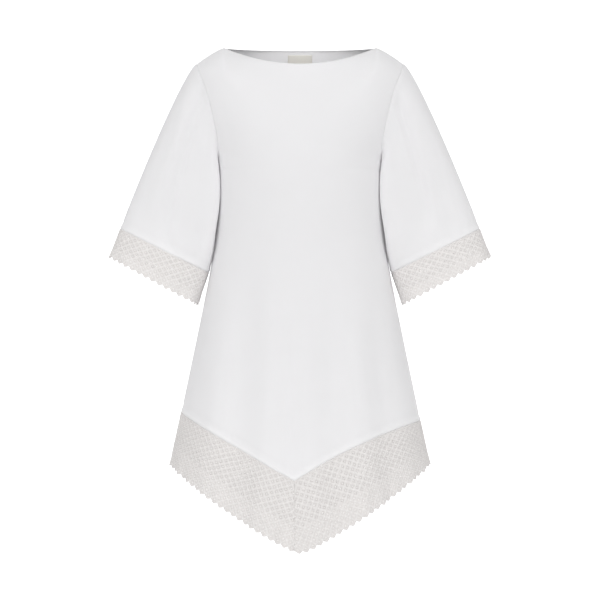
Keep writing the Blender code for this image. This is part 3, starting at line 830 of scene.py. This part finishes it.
# many cells welded to a net: place and keep take arrays of places along and across it, in teeth and rows
def laceNet(name, columns, rows, place, seed, keep=None, ring=False):
    across, along = np.meshgrid(np.arange(0, 2 * rows), np.arange(0, 2 * columns), indexing="ij")
    used = (across + along) % 2 == 0
    across, along = across[used].reshape(-1, 1), along[used].reshape(-1, 1)
    size, cells = len(cellPoints), len(across)
    random = np.random.default_rng(seed)
    shift = lace["knotShift"] * random.uniform(-1, 1, (2, cells, 1)) * cellPoints[None, None, :, 4]
    a, b = cellPoints[None, :, 0] + shift[0], cellPoints[None, :, 1] + shift[1]
    u, v = ((along + a + b) / 2).reshape(-1), ((across + b - a) / 2).reshape(-1)
    height = np.tile(cellPoints[:, 2], cells)
    uneven = 1 - lace["unevenness"] * random.random((cells, 1)) * cellPoints[None, :, 4]
    paintedShadeAndDoubling = (cellPoints[None, :, 3] * uneven).reshape(-1)
    steps = np.round(np.stack((u, v)) * lace["weldSteps"]).astype(np.int64)
    if ring:
        steps[0] = np.mod(steps[0], columns * lace["weldSteps"])
    keys = steps[0] * (4 * rows * lace["weldSteps"]) + steps[1]  # one number for each place
    _, first, welded = np.unique(keys, return_index=True, return_inverse=True)
    u, v, height, paintedShadeAndDoubling = u[first], v[first], height[first], paintedShadeAndDoubling[first]
    headingTop, closeFrom = -lace["heading"] / lace["cell"][1], rows * (1 - lace["closeShare"])
    starts = size * np.arange(cells)[:, None, None]
    shapes = []
    for corners in (3, 4):
        chosen = [k for k, face in enumerate(cellFaces) if len(face) == corners]
        template = np.array([cellFaces[k] for k in chosen])
        faces = welded.reshape(-1)[(starts + template[None]).reshape(-1, corners)]
        hole = np.tile([k in cellHoles for k in chosen], cells)
        low = v[faces].mean(axis=1)
        faces = faces[(low > headingTop) & (~hole | (low > closeFrom))]
        if keep is not None:
            faces = faces[keep(u[faces].mean(axis=1), v[faces].mean(axis=1))]
        shapes.append(faces)
    used = np.unique(np.concatenate([faces.reshape(-1) for faces in shapes]))
    renumber = np.full(len(u), -1)
    renumber[used] = np.arange(len(used))
    shapes = [renumber[faces] for faces in shapes]
    count = len(used)
    points, normals = place(u[used], v[used])
    raised = points + normals * height[used][:, None]
    below = points - normals * lace["thickness"]
    corner = shapes[0].T
    a, b, c = raised[corner]
    if (np.cross(b - a, c - a) * normals[corner[0]]).sum() < 0:
        shapes = [faces[:, ::-1] for faces in shapes]
    pairs = [np.stack((faces, np.roll(faces, -1, axis=1)), axis=-1).reshape(-1, 2) for faces in shapes]
    edges = np.concatenate(pairs)
    lone = ~np.isin(edges[:, 1] * count + edges[:, 0], edges[:, 0] * count + edges[:, 1])
    p, q = edges[lone, 0], edges[lone, 1]
    allFaces = [face for faces in shapes for face in faces.tolist() + (faces[:, ::-1] + count).tolist()]
    allFaces += np.stack((p + count, q + count, q, p), axis=-1).tolist()
    # painted shade: the back side of the lace is coloured darker
    paintedShades = np.concatenate((paintedShadeAndDoubling[used], np.full(count, lace["backPaintedLight"])))
    return makeObject(name, np.concatenate((raised, below)), allFaces, creamLace, paintedShadeAndDoubling=paintedShades)


# the pointed teeth of the edge: how far they hang at a place along it, and the net's own last line
def scallop(u):
    fromTooth = np.abs(2 * np.mod(u, 1) - 1)
    return lace["scallopDepth"] * (1 - fromTooth ** lace["scallopPower"] - lace["scallopMiddle"])


def lastLine(u, rows):
    return rows - np.abs(np.mod(u, 1) - 0.5)


# how far down a place in the net lies, from a strip's reach, its rows and the teeth of its edge
def netDepth(u, v, rows, reach):
    v = np.maximum(v, -lace["heading"] / lace["cell"][1])
    line = lastLine(u, rows)
    edge = np.clip((v - (rows - 1)) / (line - (rows - 1)), 0, 1)
    return lace["heading"] + (reach - lace["heading"]) * (v + (rows - line) * edge) / rows + scallop(u) * edge


# how far the last two rows stand off, in slow waves along the edge
def edgeFlare(u, v, rows, waves, start):
    return lace["flare"] * np.clip(v - (rows - 2), 0, 2) * np.sin(2 * math.pi * u * waves + start)


hemLace = {
    "topZ": -0.66,  # lengths round the skirt are measured from here down to lowZ
    "lowZ": -0.98,
    "levels": 12, "steps": 60, "linePoints": 160,
    "endPoints": 4,  # the last points of a line, which give its direction at its end
    "pastPoint": 0.15,  # how far the lines are drawn on past the point and past the side seam
    "pastSide": 0.08,
    "endOverlap": 0.0006,
    "extraCells": (3, 7),  # at the side seam and at the point, cut off there
    "flareWaves": 0.37,
    "headingStep": 0.12, "edgeOverlap": 0.002,
    "endCordShare": 0.996, "endCordInset": 0.001, "endCordPoints": 40,
}


# lays the flat strip of hem lace on the dress: u runs from the side seam, v down from the cloth
def hemStrip(side, hand):
    fine = np.linspace(0, 1, hemLace["steps"])
    heights = np.linspace(hemLace["topZ"], hemLace["lowZ"], hemLace["levels"])
    widths = runLengths(bodyPoint(side, hand * fine, heights[:, None]), axis=1)
    shape = widths.mean(axis=0) / widths.mean(axis=0)[-1]

    def halfArc(z):
        return np.interp(-z, -heights, widths[:, -1])

    # the seam's and the edge's lines laid flat, drawn on past both ends, and sorted along the strip
    shares = np.linspace(0, 1, hemLace["linePoints"])
    lines = []
    for z in (seamZ(side, hand * shares, hand) - seamGap, hemZ(side, hand * shares)):
        lines.append(np.stack((np.interp(shares, fine, shape) * halfArc(z), z), axis=-1))
    hem, back = lines[1], hemLace["endPoints"]
    inward = unit(hem[0] - hem[-1])
    stretched = []
    for line in lines:
        first, last = unit(line[0] - line[back]), unit(line[-1] - line[-1 - back])
        past = (line[0] + first * hemLace["pastPoint"], line[-1] + last * hemLace["pastSide"])
        line = np.vstack((past[0], line, past[1]))
        along = line @ inward
        order = np.argsort(along)
        stretched.append((along[order], line[order]))
    start = hem[-1] @ inward
    length = hem[0] @ inward - start
    cells = round(length / lace["pitch"])

    def flat(u, v):
        s = start + u * length / cells
        ends = [[np.interp(s, along, axis) for axis in line.T] for along, line in stretched]
        top, low = np.moveaxis(ends, 1, -1)
        reach = np.linalg.norm(low - top, axis=-1)
        return top + (low - top) * (netDepth(u, v, lace["hemRows"], reach) / reach)[:, None]

    def place(u, v):
        x, z = flat(u, v).T
        across = hand * np.interp(np.clip(x, 0.0, halfArc(z)) / halfArc(z), shape, fine)
        normals = bodyNormal(side, across, z)
        flare = edgeFlare(u, v, lace["hemRows"], hemLace["flareWaves"], side + hand)
        points = bodyPoint(side, across, z) + normals * flare[:, None]
        points[np.abs(across) < 1e-6, 0] += hand * seamGap / 2
        return points, normals

    # true where a spot lies between the point's end and the side seam, or up to margin past them
    def within(u, v, margin):
        x, z = flat(u, v).T
        return (x > -margin) & (x < halfArc(z) + margin)

    return place, within, cells, length


def buildHemLace(name, side, hand):
    place, within, cells, length = hemStrip(side, hand)
    first, last = -hemLace["extraCells"][0], cells + hemLace["extraCells"][1]
    rows = lace["hemRows"]
    net = laceNet(
        name,
        last - first,
        rows,
        lambda u, v: place(u + first, v),
        seed=5 + side + 3 * hand,
        keep=lambda u, v: within(u + first, v, hemLace["endOverlap"]),
    )
    # the cord along the teeth, two heading threads under the cloth's seam, and one down each end
    edge = np.arange(0, cells + lace["cordStep"] / 2, lace["cordStep"])
    heading = np.arange(first, last, hemLace["headingStep"])
    paths = []
    for u, v, margin in (
        (edge, lastLine(edge, rows), hemLace["edgeOverlap"]),
        (heading, np.full(len(heading), lace["headingRow"]), 0.0),
        (heading, np.zeros(len(heading)), 0.0),
    ):
        inside = within(u, v, margin)
        line, normals = place(u[inside], v[inside])
        paths.append(line + normals * lace["cordLift"])
    for hemEnd in (0.0, 1.0) if hand < 0 else (1.0,):  # the cord at the point covers the join of both strips
        across = hand * hemLace["endCordShare"] * hemEnd
        top = seamZ(side, np.array([across]), hand)[0] - hemLace["endCordInset"]
        low = hemZ(side, np.array([across]))[0] + hemLace["endCordInset"]
        z = top + (low - top) * np.linspace(0, 1, hemLace["endCordPoints"])
        paths.append(offBody(side, across, z, lace["cordLift"]))
    cords = makeThreads(name + "Cord", paths, lace["edgeCord"], creamLace)
    return net, cords, length


for side, sideWord in ((-1, "Front"), (1, "Back")):
    for hand, word in hands:
        strip = buildHemLace("hemLace" + sideWord + word, side, hand)
        finishLace("hem_lace_" + sideWord.lower() + "_" + word.lower(), strip)
print("hem lace made")


cuffLace = {
    "steps": 400,
    "flareWaves": 0.31,
    "backLift": 0.0060,  # the back of a cuff hangs this much higher, hidden by the front's teeth
    "backStart": 3,
}


def buildCuffLace(name, hand):
    fine = np.linspace(0, 2 * math.pi, cuffLace["steps"])
    run = runLengths(edgePoint(hand, fine))
    cells = round(run[-1] / lace["pitch"])
    rows = lace["cuffRows"]

    def place(u, v):
        angle = np.interp(np.mod(u / cells, 1.0) * run[-1], run, fine)
        low, out, normals = edgePoint(hand, angle), cuffOut(hand, angle), cuffNormal(hand, angle)
        top = cuffPoint(hand, angle) + out * seamGap
        downShare = np.clip(v / rows, 0, 1)
        down = netDepth(u, v, rows, np.linalg.norm(low - top, axis=-1))
        down -= cuffLace["backLift"] * ease(-cuffLace["backStart"] * np.sin(angle)) * downShare
        flare = edgeFlare(u, v, rows, cuffLace["flareWaves"], hand)
        points = top + out * down[:, None] + normals * flare[:, None]
        points[:, 0] -= hand * closeIn(angle, np.ones(len(angle))) * (1 - downShare**3)
        return points, normals

    net = laceNet(name, cells, rows, place, seed=20 + hand, ring=True)
    paths = []
    u = np.arange(0, cells, lace["cordStep"])
    for v in (lastLine(u, rows), 0.0 * u, 0.0 * u + lace["headingRow"]):
        line, normals = place(u, v)
        paths.append(line + normals * lace["cordLift"])
    cords = makeThreads(name + "Cord", paths, lace["edgeCord"], creamLace, closed=True)
    return net, cords, run[-1]


for hand, word in hands:
    finishLace("cuff_lace_" + word.lower(), buildCuffLace("cuffLace" + word, hand))
print("cuff lace made")


# blank label inside the back neck, folded over and sewn down both sides
label = {
    "width": 0.046, "topZ": -0.0085, "height": 0.026, "thickness": 0.0007,
    "columns": 46, "rows": 26, "lift": 0.0017, "bulge": 0.0008,
    "stitchAcross": 0.94, "stitches": 9, "stitchPoints": 5, "firstStitch": 0.0018,
    "stitchPitch": 0.0025, "stitchLength": 0.0016, "stitchRise": 0.0002, "threadRadius": 0.00022,
}


def buildLabel():
    topAngle = arc(1, label["topZ"])[2]
    share = math.asin(label["width"] / 2 / body["shoulderX"] * math.sin(topAngle)) / topAngle
    across = share * np.linspace(-1, 1, label["columns"] + 1)
    down = np.linspace(0, 1, label["rows"] + 1)
    across, down = np.meshgrid(across, down)
    z = label["topZ"] - label["height"] * down
    middle = (1 - (across / share) ** 2) * (1 - (2 * down - 1) ** 4)
    lift = label["lift"] + label["thickness"] + label["bulge"] * middle
    points = offBody(1, across, z, -lift)
    return makeShell("neckLabel", points, -bodyNormal(1, across, z), label["thickness"], labelTape), share


def buildLabelStitches(share):
    along = np.linspace(0, 1, label["stitchPoints"])
    lift = label["lift"] + label["thickness"] + label["stitchRise"] * (1 + np.sin(math.pi * along))
    paths = []
    for edge in (-1, 1):
        across = np.full(len(along), share * edge * label["stitchAcross"])
        for k in range(label["stitches"]):
            down = label["firstStitch"] + label["stitchPitch"] * k + label["stitchLength"] * along
            paths.append(offBody(1, across, label["topZ"] - down, -lift))
    return makeThreads("labelStitches", paths, label["threadRadius"], labelTape)


neckLabel, labelShare = buildLabel()
finishPiece(neckLabel, "label", "neck_label")
labelStitches = finishPiece(buildLabelStitches(labelShare), "label")
print("label made")

# a pale floor that sweeps up behind, in metres
studio = {
    "floorZ": -1.45, "front": -3.2, "back": 2.6, "halfWidth": 2.4,
    "sweep": 1.2, "sweepSteps": 13, "top": 1.4,
    "grey": 0.80, "roughness": 0.9, "wallGlow": 0.9, "roomLight": 0.62,
}


# one sheet of the backdrop, clear from behind, so that the back of the dress can be looked at
def stagePart(name, rows, glow):
    points = [(x, y, z) for y, z in rows for x in (-studio["halfWidth"], studio["halfWidth"])]
    faces = [(2 * i, 2 * i + 1, 2 * i + 3, 2 * i + 2) for i in range(len(rows) - 1)]
    material, nodes, links, shader = newMaterial(name + "Paint")
    grey = studio["grey"]
    setInputs(shader, {"Base Color": (grey, grey, grey, 1), "Roughness": studio["roughness"]})
    setInputs(shader, {"Emission Color": (1, 1, 1, 1), "Emission Strength": glow})
    facing = nodes.new("ShaderNodeNewGeometry")
    clear = nodes.new("ShaderNodeBsdfTransparent")
    mix = nodes.new("ShaderNodeMixShader")
    links.new(facing.outputs["Backfacing"], mix.inputs["Fac"])
    links.new(shader.outputs["BSDF"], mix.inputs[1])
    links.new(clear.outputs["BSDF"], mix.inputs[2])
    links.new(mix.outputs["Shader"], nodes["Material Output"].inputs["Surface"])
    makeObject(name, points, faces, material)


def buildStage():
    y, z = studio["back"] - studio["sweep"], studio["floorZ"]
    rows = [(y, z)]
    for turn in np.linspace(0, math.pi / 2, studio["sweepSteps"] + 1)[1:]:
        rows.append((y + studio["sweep"] * math.sin(turn), z + studio["sweep"] * (1 - math.cos(turn))))
    rows.append((studio["back"], studio["top"]))
    stagePart("studioFloor", [(studio["front"], z), rows[0]], 0.0)
    stagePart("studioWall", rows, studio["wallGlow"])


buildStage()

# soft lights: name, place, the spot it points at, its two sides, watts
lamps = (
    ("keyLight", (-2.0, -3.2, 1.1), (0, 0, -0.25), (2.0, 2.0), 28),
    ("fillLight", (2.0, -3.3, 1.0), (0, 0, -0.3), (2.0, 2.0), 27),
    ("frontLight", (0, -4.8, 0.75), (0, 0, -0.2), (1.6, 1.0), 25),
)
for name, place, target, size, power in lamps:
    data = bpy.data.lights.new(name, "AREA")
    data.shape = "RECTANGLE"
    data.size, data.size_y = size
    data.energy = power
    lamp = addObject(name, data)
    lamp.location = place
    lamp.rotation_euler = (Vector(target) - Vector(place)).to_track_quat("-Z", "Y").to_euler()
world = bpy.data.worlds.new("studioRoom")
world.use_nodes = True
setInputs(world.node_tree.nodes["Background"], {"Color": (1, 1, 1, 1), "Strength": studio["roomLight"]})
bpy.context.scene.world = world
bpy.context.scene.view_settings.view_transform = "Standard"

# the photo's own view, straight on
view = {"place": (0, -4.5, -0.480), "tiltDegrees": 90, "lens": 142, "sensor": 36}
cameraData = bpy.data.cameras.new("photoCamera")
cameraData.lens = view["lens"]
cameraData.sensor_width = view["sensor"]
camera = addObject("photoCamera", cameraData)
camera.location = view["place"]
camera.rotation_euler = (math.radians(view["tiltDegrees"]), 0, 0)
bpy.context.scene.camera = camera
print("studio made")
